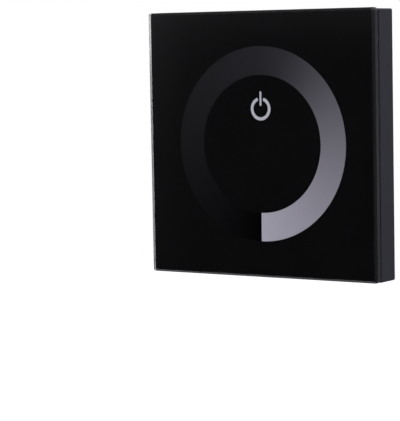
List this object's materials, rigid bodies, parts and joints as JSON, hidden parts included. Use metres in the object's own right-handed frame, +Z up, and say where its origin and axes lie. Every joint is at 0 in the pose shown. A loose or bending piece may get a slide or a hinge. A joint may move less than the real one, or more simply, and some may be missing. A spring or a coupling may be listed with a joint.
{
  "type": "touch dimmer switch",
  "caption": "Wall touch dimmer: square black glass front with printed brightness ring and power symbol, slim surface frame, in-wall box with circuit boards and a pull-off screw terminal.",
  "frame": {"origin": "centre of the wall plane, which is the back face of the base frame, midway between the two wall-box screw slots", "axes": "+Z up, +Y into the wall, the glass faces -Y, +X to the right seen from the front"},
  "size_m": [0.0862, 0.036, 0.0863],
  "materials": {
    "clear_glass": "tempered, polished, edges ground",
    "black_ink": "opaque black print seen through the glass",
    "ring_ink": "grey print graded from black to light grey",
    "symbol_ink": "light grey print",
    "adhesive_film": "translucent double-sided film",
    "black_plastic": "moulded, fine texture",
    "circuit_board": "green solder mask",
    "copper": "bare copper",
    "chip_plastic": "moulded epoxy",
    "tinned_metal": "tin plated",
    "chip_ceramic": "matte",
    "lamp_resin": "clear resin over white base",
    "header_plastic": "moulded",
    "gold_plated": "flash gold",
    "zinc_steel": "zinc plated",
    "aluminium_can": "satin",
    "sleeve_film": "shrink sleeve",
    "seal_rubber": "matte",
    "fuse_ceramic": "smooth",
    "green_plastic": "moulded",
    "clamp_steel": "zinc plated"
  },
  "bodies": {
    "base": {"base_frame": "black_plastic", "rear_housing": "black_plastic", "housing_screws": "zinc_steel", "power_board": "circuit_board", "power_board_screws": "zinc_steel", "header_socket": "header_plastic", "socket_contacts": "gold_plated", "microcontroller": "chip_plastic", "microcontroller_leads": "tinned_metal", "voltage_regulator": "chip_plastic", "regulator_leads": "tinned_metal", "power_transistors": "chip_plastic", "transistor_tabs": "tinned_metal", "capacitor_can": "aluminium_can", "capacitor_sleeve": "sleeve_film", "capacitor_seal": "seal_rubber", "capacitor_leads": "tinned_metal", "protection_diode": "chip_plastic", "diode_leads": "tinned_metal", "fuse": "fuse_ceramic", "fuse_caps": "tinned_metal", "power_board_chips": "chip_ceramic", "power_board_chip_ends": "tinned_metal", "terminal_header": "green_plastic", "terminal_header_pins": "tinned_metal"},
    "front_panel": {"glass_panel": "clear_glass", "black_glass_print": "black_ink", "brightness_ring_print": "ring_ink", "power_symbol_print": "symbol_ink", "adhesive_sheet": "adhesive_film", "front_carrier": "black_plastic", "touch_board": "circuit_board", "ring_electrodes": "copper", "power_electrode": "copper", "touch_controller": "chip_plastic", "touch_controller_leads": "tinned_metal", "touch_board_chips": "chip_ceramic", "touch_board_chip_ends": "tinned_metal", "symbol_lamp": "lamp_resin", "pin_header": "header_plastic", "pin_header_pins": "gold_plated"},
    "plug": {"terminal_plug": "green_plastic", "plug_contacts": "tinned_metal"},
    "screw_1": {"terminal_screw_1": "zinc_steel"},
    "clamp_1": {"wire_clamp_1": "clamp_steel"},
    "screw_2": {"terminal_screw_2": "zinc_steel"},
    "clamp_2": {"wire_clamp_2": "clamp_steel"},
    "screw_3": {"terminal_screw_3": "zinc_steel"},
    "clamp_3": {"wire_clamp_3": "clamp_steel"},
    "screw_4": {"terminal_screw_4": "zinc_steel"},
    "clamp_4": {"wire_clamp_4": "clamp_steel"}
  },
  "joints": [
    {"name": "panel_pull", "type": "slide", "parent": "base", "child": "front_panel", "axis": [0, -1, 0], "range_m": [0, 0.03]},
    {"name": "plug_pull", "type": "slide", "parent": "base", "child": "plug", "axis": [0, 0, -1], "range_m": [0, 0.012]},
    {"name": "screw_turn_1", "type": "hinge", "parent": "plug", "child": "screw_1", "pos_m": [-0.00762, 0.01655, -0.0196], "axis": [0, -1, 0], "range_deg": [0, 1512]},
    {"name": "clamp_rise_1", "type": "slide", "parent": "plug", "child": "clamp_1", "axis": [0, 1, 0], "range_m": [0, 0.0021]},
    {"name": "screw_turn_2", "type": "hinge", "parent": "plug", "child": "screw_2", "pos_m": [-0.00254, 0.01655, -0.0196], "axis": [0, -1, 0], "range_deg": [0, 1512]},
    {"name": "clamp_rise_2", "type": "slide", "parent": "plug", "child": "clamp_2", "axis": [0, 1, 0], "range_m": [0, 0.0021]},
    {"name": "screw_turn_3", "type": "hinge", "parent": "plug", "child": "screw_3", "pos_m": [0.00254, 0.01655, -0.0196], "axis": [0, -1, 0], "range_deg": [0, 1512]},
    {"name": "clamp_rise_3", "type": "slide", "parent": "plug", "child": "clamp_3", "axis": [0, 1, 0], "range_m": [0, 0.0021]},
    {"name": "screw_turn_4", "type": "hinge", "parent": "plug", "child": "screw_4", "pos_m": [0.00762, 0.01655, -0.0196], "axis": [0, -1, 0], "range_deg": [0, 1512]},
    {"name": "clamp_rise_4", "type": "slide", "parent": "plug", "child": "clamp_4", "axis": [0, 1, 0], "range_m": [0, 0.0021]}
  ],
  "couplings": [
    {"joint": "screw_turn_1", "follows": "clamp_rise_1", "rad_per_m": 12566},
    {"joint": "screw_turn_2", "follows": "clamp_rise_2", "rad_per_m": 12566},
    {"joint": "screw_turn_3", "follows": "clamp_rise_3", "rad_per_m": 12566},
    {"joint": "screw_turn_4", "follows": "clamp_rise_4", "rad_per_m": 12566}
  ]
}
